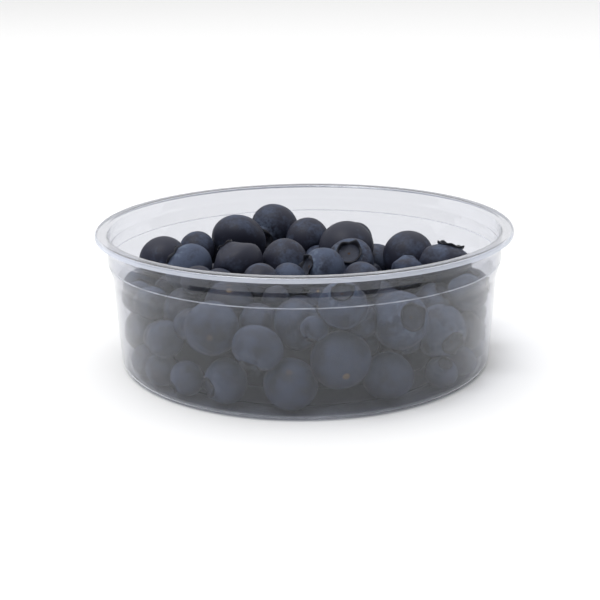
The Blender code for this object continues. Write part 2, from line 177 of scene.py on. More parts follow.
# The share of the whole sheet that scatters light instead of letting it through.
HAZE = 0.012
# The round at the base lets less light through, from this much to this much of its own radius.
BASE_DIM = (1.3, 0.6)

CLEAR_SHEET = (0.712, 0.722, 0.762)
CLEAR_SHINE = (0.96, 0.98, 1.0)
CLEAR_BEND = 1.46
# The milk-white colour of the skirt's band, also used for the painted highlight along the ledge's
# bend.
MILKY_AND_HIGHLIGHT_SHEET = (0.82, 0.86, 0.96)
LIGHT_PASSED = (0.84, 0.85, 0.88)
LIGHT_PASSED_LOW = (0.60, 0.61, 0.63)

# The skin's colours.
BARE_SKIN = (0.0200, 0.0218, 0.0370)
BLOOM = (0.054, 0.070, 0.114)
THICK_BLOOM = (0.090, 0.116, 0.170)
# The crown's lobes: their own dried colour, which also serves as painted shade on the hollow's
# inner wall.
CROWN_DRY_AND_SHADE_DARK = (0.004, 0.004, 0.006)
CROWN_DRY_AND_SHADE_LIGHT = (0.014, 0.013, 0.017)
LOBE_EDGE = (0.036, 0.040, 0.050)
HOLLOW_DARK = (0.018, 0.020, 0.030)
HOLLOW_LIGHT = (0.050, 0.056, 0.080)
HOLLOW_MIDDLE = (0.040, 0.022, 0.014)
STEM_SCAR = (0.20, 0.14, 0.08)
# The core's painted shade, from lighter on its lumps to darker between them.
CORE_SHADE_LIGHT = (0.005, 0.006, 0.010)
CORE_SHADE_DARK = (0.002, 0.002, 0.004)

# How bright the room is from one direction to another: the axis, where along it the change starts
# and ends, and the brightness before and after. The two rows add up.
ROOM = (
    ("Y", -0.35, 0.1, 0.12, 0.74),
    ("Z", 0.30, 0.8, 0.0, 0.80),
)
LAMP_PLACE = (-0.75, -0.45, 2.25)
LAMP_AIM = (0, 0, 0.02)
LAMP_SIZE = (1.2, 1.2)
LAMP_POWER = 28.0
TABLE_RADIUS = 12.0
TABLE_SIDES = 96
TABLE_COLOUR = (0.82, 0.82, 0.82)

# The camera: its distance from the middle of the tub's base, how high it stands over the table,
# where it looks and how it is rolled, in degrees, and its lens.
CAMERA_DISTANCE = 0.325
CAMERA_HEIGHT = 19.524
CAMERA_PITCH = 16.901
CAMERA_YAW = -0.270
CAMERA_ROLL = -0.792
CAMERA_LENS = 66.385
CAMERA_SENSOR = 36

# The small berries that close the gaps over the core and along the wall, in millimetres. Their
# widths go from the first to the second. The pairs after that are ranges: how far they lie under
# the berries round them, at what heights they lie along the wall and how far back from it.
GAPS_TRIED = 30000
GAP_REACH = 46.0
GAP_WIDTHS = (13.0, 6.8)
GAP_SUNK = (2.4, 4.0)
GAP_SIDE = (5.0, 25.0)
GAP_BACK = (1.2, 4.0)
GAP_CROWN_FALL = 1.5
GAP_CROSSING = 0.80  # how near they may come to others, as a share of both half widths
GAP_SEEN = 2.0  # a berry that stands this little over the core doesn't count as one that shows

# The dark core under the berries, in millimetres. It lies under the level of the berries over it,
# which is looked for within CORE_LOOK.
CORE_RINGS = (4.0, 8.0, 12.0, 16.0, 20.0, 24.0, 28.0, 32.0, 36.5, 41.0)
CORE_SIDES = 90
CORE_FLOOR = 4.2
CORE_DROP = 3.6
CORE_LOOK = 6.0
CORE_LOWEST_TOP = 9.0
CORE_PLUG = (-26.5, 14.0, 28.6)  # it is raised here, where light would come through a gap
PLUG_REACH = 3.5
COVERED = (4.0, 8.0)  # a berry lies under another that is this much higher and this near

# A berry's own shape, as shares of half its width.
CROWN_WIDTH = 0.42
CROWN_LOBES = 5
SHOULDER = (0.2, 0.6)  # from which height on the skin follows the crown's width, and over how much
LOBE_TALL = (0.45, 1.15)
LOBE_LEAN = (-0.35, 0.9)
LOBE_POINTED = 1.1
LOBE_RISE = 1.2
LOBE_GAP = 0.06
LOBE_RAGGED = (0.25, 5, 22)  # how much, from how many waves, and how fine
STEM_DIMPLE = (0.10, 0.16)
UNEVEN_SKIN = (0.022, 6, 2.2)
UNEVEN_FINE = (0.006, 6, 6)
LEAST_REACH = 0.86  # a berry is never pressed flatter than this
OFF_TUB = 0.1  # what stays free between a berry and the tub, in millimetres

# The looks that poured berries get by chance: dusty, crown width and lobe height.
POURED_DUSTY = (0.25, 0.95)
POURED_CROWN = (0.36, 0.5)
POURED_LOBES = (0.06, 0.16)
SAME_PLACE = 1e-5
FINE_FORM = (56, 22)  # sides, and steps up the skin
PLAIN_FORM = (28, 13)
SKIN_APART = 50
LOOKS_SEED = 31


# ---- the tub


def rounded(corners):
    """The line through (radius, height, rounding) corners, with an arc at each rounded one."""
    line = [Vector(corners[0][:2])]
    for before, here, after in zip(corners, corners[1:], corners[2:]):
        corner, rounding = Vector(here[:2]), here[2]
        back = (Vector(before[:2]) - corner).normalized()
        on = (Vector(after[:2]) - corner).normalized()
        half = back.angle(on) / 2
        if not rounding:
            line.append(corner)
            continue
        centre = corner + (back + on).normalized() * rounding / math.sin(half)
        start = corner + back * rounding / math.tan(half) - centre
        turn = math.pi - 2 * half
        side = 1 if back.cross(on) < 0 else -1
        steps = math.ceil(turn / ARC_STEP)
        for step in range(steps + 1):
            line.append(centre + Matrix.Rotation(side * turn * step / steps, 2) @ start)
    line.append(Vector(corners[-1][:2]))
    return line


def sheet_outline(line, thickness):
    """The closed outline of a sheet that follows a line from the axis outwards."""
    inner, outer = [], []
    ways = [(after - before).normalized() for before, after in zip(line, line[1:])]
    for point, back, on in zip(line, ways[:1] + ways, ways + ways[-1:]):
        along = (back + on).normalized()
        across = Vector((along.y, -along.x)) * thickness / 2 / along.dot(on)
        outer.append(point + across)
        inner.append(point - across)
    return outer + inner[::-1]


def turned(outline, sides):
    """A bmesh turned from an outline of (radius, height) points, closed and facing out."""
    shape = bmesh.new()
    points = [shape.verts.new((point.x, 0, point.y)) for point in outline]
    edges = [shape.edges.new(pair) for pair in zip(points, points[1:])]
    bmesh.ops.spin(
        shape,
        geom=points + edges,
        cent=(0, 0, 0),
        axis=(0, 0, 1),
        angle=2 * math.pi,
        steps=sides,
        use_merge=True,
    )
    bmesh.ops.remove_doubles(shape, verts=shape.verts, dist=0.001 * MM)
    bmesh.ops.recalc_face_normals(shape, faces=shape.faces)
    return shape


def make_tub():
    """The tub, one sheet turned from the middle of its floor to the edge of its skirt."""
    half = SHEET / 2
    top = HEIGHT - half
    corners = (
        (0, half + PANEL_LIFT, 0),
        (PANEL_RADIUS, half + PANEL_LIFT, SMALL_ROUND),
        (PANEL_RADIUS + PANEL_SLOPE, half, SMALL_ROUND),
        (BASE_RADIUS - half, half, BASE_ROUND),
        (*LEDGE_LOW, LEDGE_ROUND),
        (*LEDGE_HIGH, SMALL_ROUND),
        (NECK_RADIUS, GROOVE_HEIGHT - GROOVE_REACH, SMALL_ROUND),
        (NECK_RADIUS - GROOVE_DEPTH, GROOVE_HEIGHT, SMALL_ROUND),
        (NECK_RADIUS, GROOVE_HEIGHT + GROOVE_REACH, SMALL_ROUND),
        (NECK_RADIUS, top, LIP_ROUND),
        (RIM_RADIUS - half, top, SMALL_ROUND),
        (RIM_RADIUS - half, top - SKIRT_DROP, 0),
    )
    shape = turned(sheet_outline(rounded(corners), SHEET), TUB_SIDES)
    mesh = bpy.data.meshes.new("clear_tub")
    shape.to_mesh(mesh)
    shape.free()
    mesh.shade_smooth()
    mesh.set_sharp_from_angle(angle=math.radians(50))
    return add_piece("clear_tub", mesh, clear_plastic())


# ---- where the berries lie, in millimetres, by the frame's own rule


def wall_radius(z):
    """The tub's inside radius at a height."""
    for (low, narrow), (high, wide) in zip(WALL_INSIDE, WALL_INSIDE[1:]):
        if z < high:
            return narrow + (wide - narrow) * (z - low) / (high - low)
    return WALL_INSIDE[-1][1]


def floor_height(radius):
    """How high the tub's floor lies, inside on the panel or outside in the ring."""
    return PANEL_TOP if radius < PANEL_REACH else RING_TOP


class Berry:
    """A berry as a ball flattened along its crown's axis."""

    def __init__(self, x, y, z, width, share, crown, give):
        self.place = [x, y, z]
        self.home = [x, y, z]
        self.wide = width / 2
        self.long = self.wide * share
        size = math.sqrt(sum(part * part for part in crown))
        self.crown = [part / size for part in crown]
        self.give = give

    def reach(self, x, y, z):
        """How far it reaches from its middle in a direction of length 1."""
        along = (x * self.crown[0] + y * self.crown[1] + z * self.crown[2]) ** 2
        return math.sqrt(self.wide**2 * (1 - along) + self.long**2 * along)


def push_apart(one, other):
    """Moves two berries that cross until they only press lightly, each by how much it gives."""
    away = [b - a for a, b in zip(one.place, other.place)]
    most = one.wide + other.wide
    if max(away) > most or min(away) < -most:
        return
    distance = math.sqrt(sum(part * part for part in away))
    if distance > most:
        return
    away = [part / distance for part in away]
    crossing = one.reach(*away) + other.reach(*away) - distance - PRESSED
    if crossing > 0:
        share = crossing / (one.give + other.give)
        for axis in range(3):
            one.place[axis] -= away[axis] * share * one.give
            other.place[axis] += away[axis] * share * other.give


def keep_inside(berry):
    """Lifts a berry off the floor and moves it in from the wall."""
    x, y, z = berry.place
    radius = math.hypot(x, y)
    berry.place[2] = max(z, floor_height(radius) + GAP + berry.reach(0, 0, 1))
    if radius:
        most = wall_radius(z) - GAP - berry.reach(x / radius, y / radius, 0)
        if radius > most:
            berry.place[0] *= most / radius
            berry.place[1] *= most / radius


def settle(berries, rounds, fall):
    """Lets the berries sink and push each other aside until they lie against each other."""
    for turn in range(rounds):
        for berry in berries:
            berry.place[2] -= fall * (1 - turn / rounds) * berry.give
            if berry.give < 1:
                berry.place = [p + (h - p) * LAID_PULL for p, h in zip(berry.place, berry.home)]
        for index, berry in enumerate(berries):
            for other in berries[index + 1 :]:
                push_apart(berry, other)
        for berry in berries:
            keep_inside(berry)


def highest_top(x, y, berries):
    """How high a poured berry may reach over a place."""
    near_wall = (math.hypot(x, y) / wall_radius(0)) ** 4
    most = min(FILL_HEIGHT - FILL_SLOPE * y, HIGHEST_POURED - WALL_FALL * near_wall)
    for berry in berries:
        high = berry.give < 1 and berry.place[2] > HIGH_LAID
        if high and math.hypot(berry.place[0] - x, berry.place[1] - y) < UNDER_REACH:
            most = max(most, berry.place[2] - UNDER_DROP)
    return most


def lowest_free(x, y, radius, berries):
    """The lowest height at which a ball is free of the other berries, or None above the fill."""
    z = floor_height(math.hypot(x, y)) + GAP + radius
    top = highest_top(x, y, berries) - radius
    while z < top:
        rest = z
        for berry in berries:
            apart = (berry.wide + berry.long) / 2 + radius - 2 * PRESSED
            room = apart**2 - (berry.place[0] - x) ** 2 - (berry.place[1] - y) ** 2
            if room > 0 and abs(berry.place[2] - z) < math.sqrt(room) - 1e-6:
                rest = berry.place[2] + math.sqrt(room)
                break
        if rest == z:
            return z
        z = rest
    return None


def pour(berries, chance):
    """Adds berries, the widest first, each at the lowest of a few places tried."""
    for index in range(POURED):
        shrink = (LARGEST_POURED - SMALLEST_POURED) * index / POURED
        width = LARGEST_POURED - shrink + chance.uniform(-UNEVEN, UNEVEN)
        radius = width / 2 * POURED_SHARES[1]
        best = None
        for _ in range(PLACES_TRIED):
            turn = chance.uniform(0, 2 * math.pi)
            out = wall_radius(0) - GAP - radius
            if chance.random() < AWAY_FROM_WALL:
                out *= math.sqrt(chance.random())
            x, y = out * math.cos(turn), out * math.sin(turn)
            z = None if y < HAND_LAID_FRONT else lowest_free(x, y, radius, berries)
            if z is not None and (best is None or z < best[2]):
                best = (x, y, z)
        if best:
            crown = [chance.gauss(0, 1) for _ in range(3)]
            berries.append(Berry(*best, width, chance.uniform(*POURED_SHARES), crown, 1))


def uncovered(berries):
    """The middles of the berries that no other lies on."""
    places = np.array([berry.place for berry in berries])
    apart = np.linalg.norm(places[:, None, :2] - places[None, :, :2], axis=2)
    higher = places[None, :, 2] - places[:, None, 2] > COVERED[0]
    return places[~((apart < COVERED[1]) & higher).any(1)]


def level(x, y, tops):
    """How high the middles of the uppermost berries lie round a place."""
    weights = np.exp(-((tops[:, 0] - x) ** 2 + (tops[:, 1] - y) ** 2) / CORE_LOOK**2)
    return (weights * tops[:, 2]).sum() / weights.sum()


def fill_gaps(berries, chance):
    """Small berries where the core would show between the others, the widest first.

    Every second one is tried along the wall, but not along the front, whose berries are listed one
    by one."""
    tops = uncovered(berries)
    seen = [
        berry
        for berry in berries
        if math.hypot(*berry.place[:2]) + berry.wide > CORE_RINGS[-1]
        or berry.place[2] + berry.wide > level(*berry.place[:2], tops) - CORE_DROP + GAP_SEEN
    ]
    added = []
    for index in range(GAPS_TRIED):
        turn = chance.uniform(0, 2 * math.pi)
        out = GAP_REACH * math.sqrt(chance.random())
        width = GAP_WIDTHS[0] + (GAP_WIDTHS[1] - GAP_WIDTHS[0]) * index / GAPS_TRIED
        z = chance.uniform(*GAP_SIDE)
        by_wall = index % 2 == 1
        if by_wall:
            out = wall_radius(z) - width / 2 - chance.uniform(*GAP_BACK)
        x, y = out * math.cos(turn), out * math.sin(turn)
        highest = level(x, y, tops) - chance.uniform(*GAP_SUNK)
        z = min(z, highest) if by_wall else highest
        crown = [chance.gauss(0, 1), chance.gauss(0, 1), -GAP_CROWN_FALL - chance.random()]
        if by_wall and y < HAND_LAID_FRONT + width:
            continue
        others = seen + added
        if all(
            math.dist((x, y, z), other.place) > (width / 2 + other.wide) * GAP_CROSSING
            for other in others
        ):
            added.append(Berry(x, y, z, width, chance.uniform(*POURED_SHARES), crown, 1))
            keep_inside(added[-1])
    return added


def lay_heap():
    """The laid berries, settled against each other, and the berries poured round them."""
    berries = [Berry(*row[:6], LAID_GIVE) for row in LAID]
    settle(berries, LAID_ROUNDS, 0)
    pour(berries, random.Random(SEED))
    settle(berries, SETTLE_ROUNDS, SETTLE_FALL)
    return berries


# ---- the berries' own shape


def berry_outline(skin_steps):
    """A berry from its stem end up its side to the crown and down into the crown's hollow.

    Returns (radius, height) points of a ball of radius 1, and each point's lip: how much of the
    crown's lobes it carries, below 0 on the crown's inner side."""
    foot = math.asin(CROWN_WIDTH)
    points, lips = [], []
    for step in range(skin_steps + 1):
        angle = math.pi - (math.pi - foot) * step / skin_steps
        points.append((math.sin(angle), math.cos(angle)))
        lips.append(0.0)
    points[0] = (0.0, -1.0)
    foot_radius, foot_height = points[-1]
    rise = (
        # out from the foot, up from the foot, lip
        (0.020, 0.030, 0.25),
        (0.030, 0.065, 0.60),
        (0.022, 0.095, 1.00),
        (-0.020, 0.090, -1.00),
        (-0.045, 0.050, -0.60),
        (-0.060, 0.005, -0.30),
        (-0.085, -0.045, -0.12),
        (-0.150, -0.085, -0.04),
        (-0.230, -0.100, -0.01),
        (-0.310, -0.095, -0.005),
        (-0.370, -0.080, -0.005),
    )
    for out, up, lip in rise:
        points.append((foot_radius + out, foot_height + up))
        lips.append(lip)
    middle_drop, middle_lip = 0.095, -0.005
    points.append((0.0, foot_height - middle_drop))
    lips.append(middle_lip)
    return [Vector(point) for point in points], lips


def berry_form(sides, skin_steps):
    """The turned form that every berry starts from: its points, its quads and their lips."""
    outline, lips = berry_outline(skin_steps)
    shape = bmesh.new()
    mark = shape.verts.layers.float.new("lip")
    points = []
    for point, lip in zip(outline, lips):
        vert = shape.verts.new((point.x, 0, point.y))
        vert[mark] = lip
        points.append(vert)
    edges = [shape.edges.new(pair) for pair in zip(points, points[1:])]
    bmesh.ops.spin(
        shape,
        geom=points + edges,
        cent=(0, 0, 0),
        axis=(0, 0, 1),
        angle=2 * math.pi,
        steps=sides,
        use_merge=True,
    )
    bmesh.ops.remove_doubles(shape, verts=shape.verts, dist=SAME_PLACE)
    bmesh.ops.recalc_face_normals(shape, faces=shape.faces)
    shape.verts.index_update()
    places = np.array([vert.co for vert in shape.verts])
    marks = np.array([vert[mark] for vert in shape.verts])
    faces = [[vert.index for vert in face.verts] for face in shape.faces]
    shape.free()
    return places, marks, faces


def waves(places, chance, most, count, size):
    """A smooth uneven field over the places, between about -most and most."""
    total = np.zeros(len(places))
    for _ in range(count):
        way = np.array([chance.gauss(0, 1) for _ in range(3)])
        way *= size / np.linalg.norm(way)
        total += np.sin(places @ way + chance.uniform(0, 2 * math.pi))
    return most * (total / math.sqrt(count))


def shaped_berry(form, looks, chance):
    """One berry's points in a ball of radius 1, with its crown's width, lobes and unevenness."""
    places, lips, _ = form
    crown_width, lobe_height, scar = looks
    x, y, z = places.T
    around = np.arctan2(y, x)
    radius = np.hypot(x, y)
    # The crown is widened or narrowed, and the skin beside it follows.
    ratio = crown_width / CROWN_WIDTH
    near = np.clip((z - SHOULDER[0]) / SHOULDER[1], 0, 1)
    widen = 1 + (ratio - 1) * near * near * (3 - 2 * near)
    # The lobes stand up and lean outwards, each by its own amount.
    turn = chance.uniform(0, 2 * math.pi)
    lobe = (around + turn) * CROWN_LOBES / (2 * math.pi)
    index = np.floor(lobe).astype(int) % CROWN_LOBES
    tall = np.array([chance.uniform(*LOBE_TALL) for _ in range(CROWN_LOBES)])[index]
    lean = np.array([chance.uniform(*LOBE_LEAN) for _ in range(CROWN_LOBES)])[index]
    inside = lobe - np.floor(lobe) - 0.5
    tip = np.clip(1 - np.abs(2 * inside) ** LOBE_POINTED, 0, 1)
    ragged = 1 + waves(places, chance, *LOBE_RAGGED)
    lift = np.abs(lips) ** LOBE_RISE * tip * tall * ragged * lobe_height
    gap = np.abs(lips) * (1 - tip) * LOBE_GAP
    radius = radius * widen + lift * lean
    height = z + lift - gap
    # A dimple at the stem end.
    deep, wide = STEM_DIMPLE
    height = height + deep * scar * np.exp(-((radius / wide) ** 2)) * (z < 0)
    shaped = np.stack([radius * np.cos(around), radius * np.sin(around), height], 1)
    uneven = 1 + waves(places, chance, *UNEVEN_SKIN) + waves(places, chance, *UNEVEN_FINE)
    return shaped * uneven[:, None]


def press_flat(points, berry, others):
    """Flattens a berry's points where it lies against other berries."""
    middle = np.array(berry.place)
    for other in others:
        away = np.array(other.place) - middle
        distance = np.linalg.norm(away)
        if other is berry or distance > berry.wide + other.wide:
            continue
        away /= distance
        own, their = berry.reach(*away), other.reach(*away)
        limit = max(own - max(own + their - distance, 0) / 2, own * LEAST_REACH)
        past = np.clip((points - middle) @ away - limit, 0, None)
        points = points - past[:, None] * away
    return points


def keep_off_tub(points):
    """Moves what would pass through the tub's wall or floor back inside."""
    x, y, z = points.T
    radius = np.hypot(x, y)
    heights, radii = zip(*WALL_INSIDE)
    limit = np.interp(z, heights, radii) - OFF_TUB
    inwards = np.minimum(1, limit / np.maximum(radius, 1))
    floor = np.where(radius < PANEL_REACH, PANEL_TOP, RING_TOP) + OFF_TUB
    return np.stack([x * inwards, y * inwards, np.maximum(z, floor)], 1)


def join_berries(name, berries, looks, form, others, chance, finish):
    """One mesh of many berries. Its attributes hold what the skin needs:

    skin_place, the place in the berry's own ball, moved far apart from berry to berry;
    skin_height, from -1 at the stem end to 1 at the crown; skin_out, the distance from the axis;
    crown_part, 1 in the crown's hollow and on the inner side of its lobes; lobe_part, how much of
    the lobes a point carries; dusty, the berry's bloom; stem_part, how plain its stem scar is."""
    places, lips, faces = form
    count = len(places)
    inside = (lips < 0).astype(float)
    on_lobe = np.clip(np.abs(lips), 0, 1)
    all_points, skin_place, skin_height, skin_out = [], [], [], []
    crown_part, lobe_part, dusty, stem_part = [], [], [], []
    for berry, look in zip(berries, looks):
        shaped = shaped_berry(form, look[1:], chance)
        turned_to = np.array(Vector(berry.crown).to_track_quat("Z", "Y").to_matrix())
        sized = shaped * (berry.wide, berry.wide, berry.long)
        points = sized @ turned_to.T + berry.place
        all_points.append(keep_off_tub(press_flat(points, berry, others)))
        shift = [chance.uniform(-SKIN_APART, SKIN_APART) for _ in range(3)]
        skin_place.append(shaped + shift)
        skin_height.append(shaped[:, 2])
        skin_out.append(np.hypot(shaped[:, 0], shaped[:, 1]))
        crown_part.append(inside)
        lobe_part.append(on_lobe)
        dusty.append(np.full(count, look[0]))
        stem_part.append(np.full(count, look[3]))
    all_faces = [
        [corner + count * index for corner in face]
        for index in range(len(berries))
        for face in faces
    ]
    mesh = bpy.data.meshes.new(name)
    mesh.from_pydata((np.concatenate(all_points) * MM).tolist(), [], all_faces)
    mesh.shade_smooth()
    give_attribute(mesh, "skin_place", np.concatenate(skin_place))
    for label, values in (
        ("skin_height", skin_height),
        ("skin_out", skin_out),
        ("crown_part", crown_part),
        ("lobe_part", lobe_part),
        ("dusty", dusty),
        ("stem_part", stem_part),
    ):
        give_attribute(mesh, label, np.concatenate(values))
    return add_piece(name, mesh, finish)


def give_attribute(mesh, label, values):
    kind, field = ("FLOAT_VECTOR", "vector") if values.ndim == 2 else ("FLOAT", "value")
    made = mesh.attributes.new(label, kind, "POINT")
    made.data.foreach_set(field, values.astype(np.float32).ravel())


def make_core(berries):
    """A round dark block that follows the berries a little under their middles."""
    outline = [Vector((0, CORE_LOWEST_TOP))]
    outline += [Vector((radius, CORE_LOWEST_TOP)) for radius in CORE_RINGS]
    outline += [Vector((CORE_RINGS[-1], CORE_FLOOR)), Vector((0, CORE_FLOOR))]
    shape = turned([point * MM for point in outline], CORE_SIDES)
    tops = uncovered(berries)
    for vert in shape.verts:
        x, y, z = vert.co / MM
        if z > (CORE_FLOOR + CORE_LOWEST_TOP) / 2:
            top = level(x, y, tops) - CORE_DROP
            if math.hypot(x - CORE_PLUG[0], y - CORE_PLUG[1]) < PLUG_REACH:
                top = CORE_PLUG[2]
            vert.co.z = top * MM
    mesh = bpy.data.meshes.new("heap_core")
    shape.to_mesh(mesh)
    shape.free()
    mesh.shade_smooth()
    return add_piece("heap_core", mesh, deep_berries())


def make_berries():
    """The heap's three pieces: the laid berries, the poured ones and the core."""
    heap = lay_heap()
    berries = heap + fill_gaps(heap, random.Random(SEED))
    chance = random.Random(LOOKS_SEED)
    laid, poured = berries[: len(LAID)], berries[len(LAID) :]
    finish = blueberry_skin()
    laid_looks = [row[6:] for row in LAID]
    poured_looks = [
        (
            chance.uniform(*POURED_DUSTY),
            chance.uniform(*POURED_CROWN),
            chance.uniform(*POURED_LOBES),
            chance.random(),
        )
        for _ in poured
    ]
    fine, plain = berry_form(*FINE_FORM), berry_form(*PLAIN_FORM)
    outer = join_berries("berries_that_show", laid, laid_looks, fine, berries, chance, finish)
    inner = join_berries("berries_poured", poured, poured_looks, plain, berries, chance, finish)
    return outer, inner, make_core(heap)


# ---- finishes


class Finish:
    """A material being wired: add() makes a node, sets its fields and fills its sockets."""

    def __init__(self, name):
        self.material = bpy.data.materials.new(name)
        self.material.use_nodes = True
        self.tree = self.material.node_tree
        self.tree.nodes.clear()

    def add(self, kind, fields=None, **sockets):
        node = self.tree.nodes.new("ShaderNode" + kind)
        for field, value in (fields or {}).items():
            setattr(node, field, value)
        for label, value in sockets.items():
            self.fill(node.inputs[label.replace("_", " ")], value)
        return node

    def fill(self, socket, value):
        if isinstance(value, bpy.types.NodeSocket):
            self.tree.links.new(value, socket)
        elif isinstance(value, tuple) and len(value) == 3 and socket.type == "RGBA":
            socket.default_value = (*value, 1)
        else:
            socket.default_value = value

    def attribute(self, label):
        node = self.add("Attribute", {"attribute_name": label})
        return node.outputs["Vector"] if label == "skin_place" else node.outputs["Fac"]

    def noise(self, place, scale, detail, roughness=0.5):
        node = self.add("TexNoise", Vector=place, Scale=scale, Detail=detail, Roughness=roughness)
        return node.outputs["Fac"]

    def math(self, operation, first, second=0.0, third=0.0, clamp=False):
        node = self.add("Math", {"operation": operation, "use_clamp": clamp})
        for socket, value in zip(node.inputs, (first, second, third)):
            self.fill(socket, value)
        return node.outputs[0]

    def between(self, value, low, high):
        """0 below low, 1 above high, smooth between."""
        smooth = {"interpolation_type": "SMOOTHSTEP"}
        node = self.add("MapRange", smooth, Value=value, From_Min=low, From_Max=high)
        return node.outputs["Result"]

    def mix(self, share, first, second):
        node = self.add("Mix", {"data_type": "RGBA"})
        for index, value in ((0, share), (6, first), (7, second)):
            self.fill(node.inputs[index], value)
        return node.outputs[2]

    def end(self, shader):
        self.add("OutputMaterial", Surface=shader)
        return self.material


def clear_plastic():
    """Thin clear sheet, a little grey, with a painted highlight line along the ledge's bend and a
    milk-white band at its skirt.

    Light goes straight through it to what lies behind it."""
    finish = Finish("clear plastic")
    sheet = finish.add(
        "BsdfPrincipled",
        Base_Color=CLEAR_SHEET,
        Roughness=0.02,
        IOR=CLEAR_BEND,
        Specular_Tint=CLEAR_SHINE,
        Transmission_Weight=1.0,
    )
    place = finish.add("SeparateXYZ", Vector=finish.add("TexCoord").outputs["Object"])
    x, y, z = place.outputs
    out = finish.math("SQRT", finish.math("MULTIPLY_ADD", x, x, finish.math("MULTIPLY", y, y)))
    # Painted highlight: a thin milk-white band along the ledge's bend, broken up by fine noise,
    # stands in for the light caught there.
    starts, full, ends = [height * MM for height in FOLD_HIGHLIGHT_HEIGHTS]
    ledge_highlight = finish.math("SUBTRACT", finish.between(z, starts, full), finish.between(z, full, ends))
    far_out = finish.between(out, *(radius * MM for radius in SKIRT_FROM))
    low_down = finish.between(z, *(height * MM for height in SKIRT_UNDER))
    skirt = finish.math("MULTIPLY", far_out, low_down)
    highlight_breakup = finish.noise(finish.add("TexCoord").outputs["Object"], FOLD_HIGHLIGHT_BREAKUP, 2.0)
    highlight_strength = finish.math("MULTIPLY_ADD", highlight_breakup, FOLD_HIGHLIGHT_UNEVEN, FOLD_HIGHLIGHT_LEAST)
    ledge_highlight = finish.math("MULTIPLY", ledge_highlight, highlight_strength)
    whitened = finish.math("MULTIPLY_ADD", skirt, SKIRT_MILKY, ledge_highlight)
    whitened = finish.math("ADD", whitened, HAZE)
    milky_and_highlight = finish.add("BsdfDiffuse", Color=MILKY_AND_HIGHLIGHT_SHEET)
    seen = finish.add("MixShader", Fac=whitened)
    finish.fill(seen.inputs[1], sheet.outputs[0])
    finish.fill(seen.inputs[2], milky_and_highlight.outputs[0])
    at_base = finish.between(z, BASE_ROUND * BASE_DIM[0], BASE_ROUND * BASE_DIM[1])
    passed = finish.mix(at_base, LIGHT_PASSED, LIGHT_PASSED_LOW)
    open_air = finish.add("BsdfTransparent", Color=passed)
    path = finish.add("LightPath")
    ways = path.outputs
    lets_through = finish.math("MAXIMUM", ways["Is Shadow Ray"], ways["Is Diffuse Ray"])
    surface = finish.add("MixShader", Fac=lets_through)
    finish.fill(surface.inputs[1], seen.outputs[0])
    finish.fill(surface.inputs[2], open_air.outputs[0])
    return finish.end(surface.outputs[0])


def blueberry_skin():
    """Dark skin under a dusty bloom that is rubbed away in patches, and a crown of dried lobes,
    dark partly in their own colour and partly as painted shade.
    """
    finish = Finish("blueberry skin")
    place = finish.attribute("skin_place")
    height = finish.attribute("skin_height")
    out = finish.attribute("skin_out")
    hollow = finish.attribute("crown_part")
    lobes = finish.attribute("lobe_part")
    dusty = finish.attribute("dusty")
    scar = finish.attribute("stem_part")
    # The bloom: wide patches, moved by how dusty the berry is, then finer and finer ones over them.
    patches = finish.noise(place, 1.2, 3.0, 0.55)
    mottling = finish.noise(place, 4.5, 2.0, 0.6)
    rubbing = finish.noise(place, 9.0, 2.0, 0.6)
    grain = finish.noise(place, 13.0, 1.0, 0.5)
    beside_crown = finish.between(height, 0.35, 0.95)
    bloom = finish.math("MULTIPLY_ADD", patches, 3.6, -3.0)
    bloom = finish.math("ADD", bloom, dusty)
    bloom = finish.math("MULTIPLY_ADD", mottling, 0.9, bloom)
    bloom = finish.math("MULTIPLY_ADD", rubbing, 0.6, bloom)
    bloom = finish.math("MULTIPLY_ADD", beside_crown, 0.35, bloom)
    bloom = finish.math("MULTIPLY_ADD", grain, 0.12, bloom, clamp=True)
    skin = finish.mix(bloom, BARE_SKIN, BLOOM)
    high, dense = finish.between(height, 0.5, 0.9), finish.between(mottling, 0.45, 0.65)
    thick = finish.math("MULTIPLY", high, dense)
    skin = finish.mix(finish.math("MULTIPLY", thick, dusty, clamp=True), skin, THICK_BLOOM)
    # The crown: lobes dark partly in their own dried colour and partly as painted shade on the
    # hollow's inner wall, a pale floor in its hollow and a small brown middle.
    dry_and_shade = finish.mix(grain, CROWN_DRY_AND_SHADE_DARK, CROWN_DRY_AND_SHADE_LIGHT)
    dry_and_shaded_lobes = finish.between(lobes, 0.06, 0.3)
    floor = finish.math("MULTIPLY", hollow, finish.math("SUBTRACT", 1.0, dry_and_shaded_lobes))
    colour = finish.mix(finish.math("MULTIPLY", dry_and_shaded_lobes, 0.9), skin, dry_and_shade)
    edge = finish.math("MULTIPLY", finish.between(lobes, 0.85, 1.0), 0.35)
    colour = finish.mix(edge, colour, LOBE_EDGE)
    colour = finish.mix(floor, colour, finish.mix(mottling, HOLLOW_DARK, HOLLOW_LIGHT))
    middle = finish.math("MULTIPLY", hollow, finish.between(out, 0.08, 0.04))
    colour = finish.mix(middle, colour, HOLLOW_MIDDLE)
    # The scar at the stem end.
    below = finish.math("LESS_THAN", height, 0.0)
    stem = finish.math("MULTIPLY", finish.between(out, 0.15, 0.08), below)
    stem = finish.math("MULTIPLY", stem, scar)
    colour = finish.mix(stem, colour, STEM_SCAR)
    roughness = finish.math("MULTIPLY_ADD", bloom, 0.2, 0.5)
    bump = finish.add("Bump", Strength=0.3, Distance=0.0001, Height=mottling)
    shader = finish.add(
        "BsdfPrincipled", Base_Color=colour, Roughness=roughness, Normal=bump.outputs[0], IOR=1.3
    )
    return finish.end(shader.outputs[0])


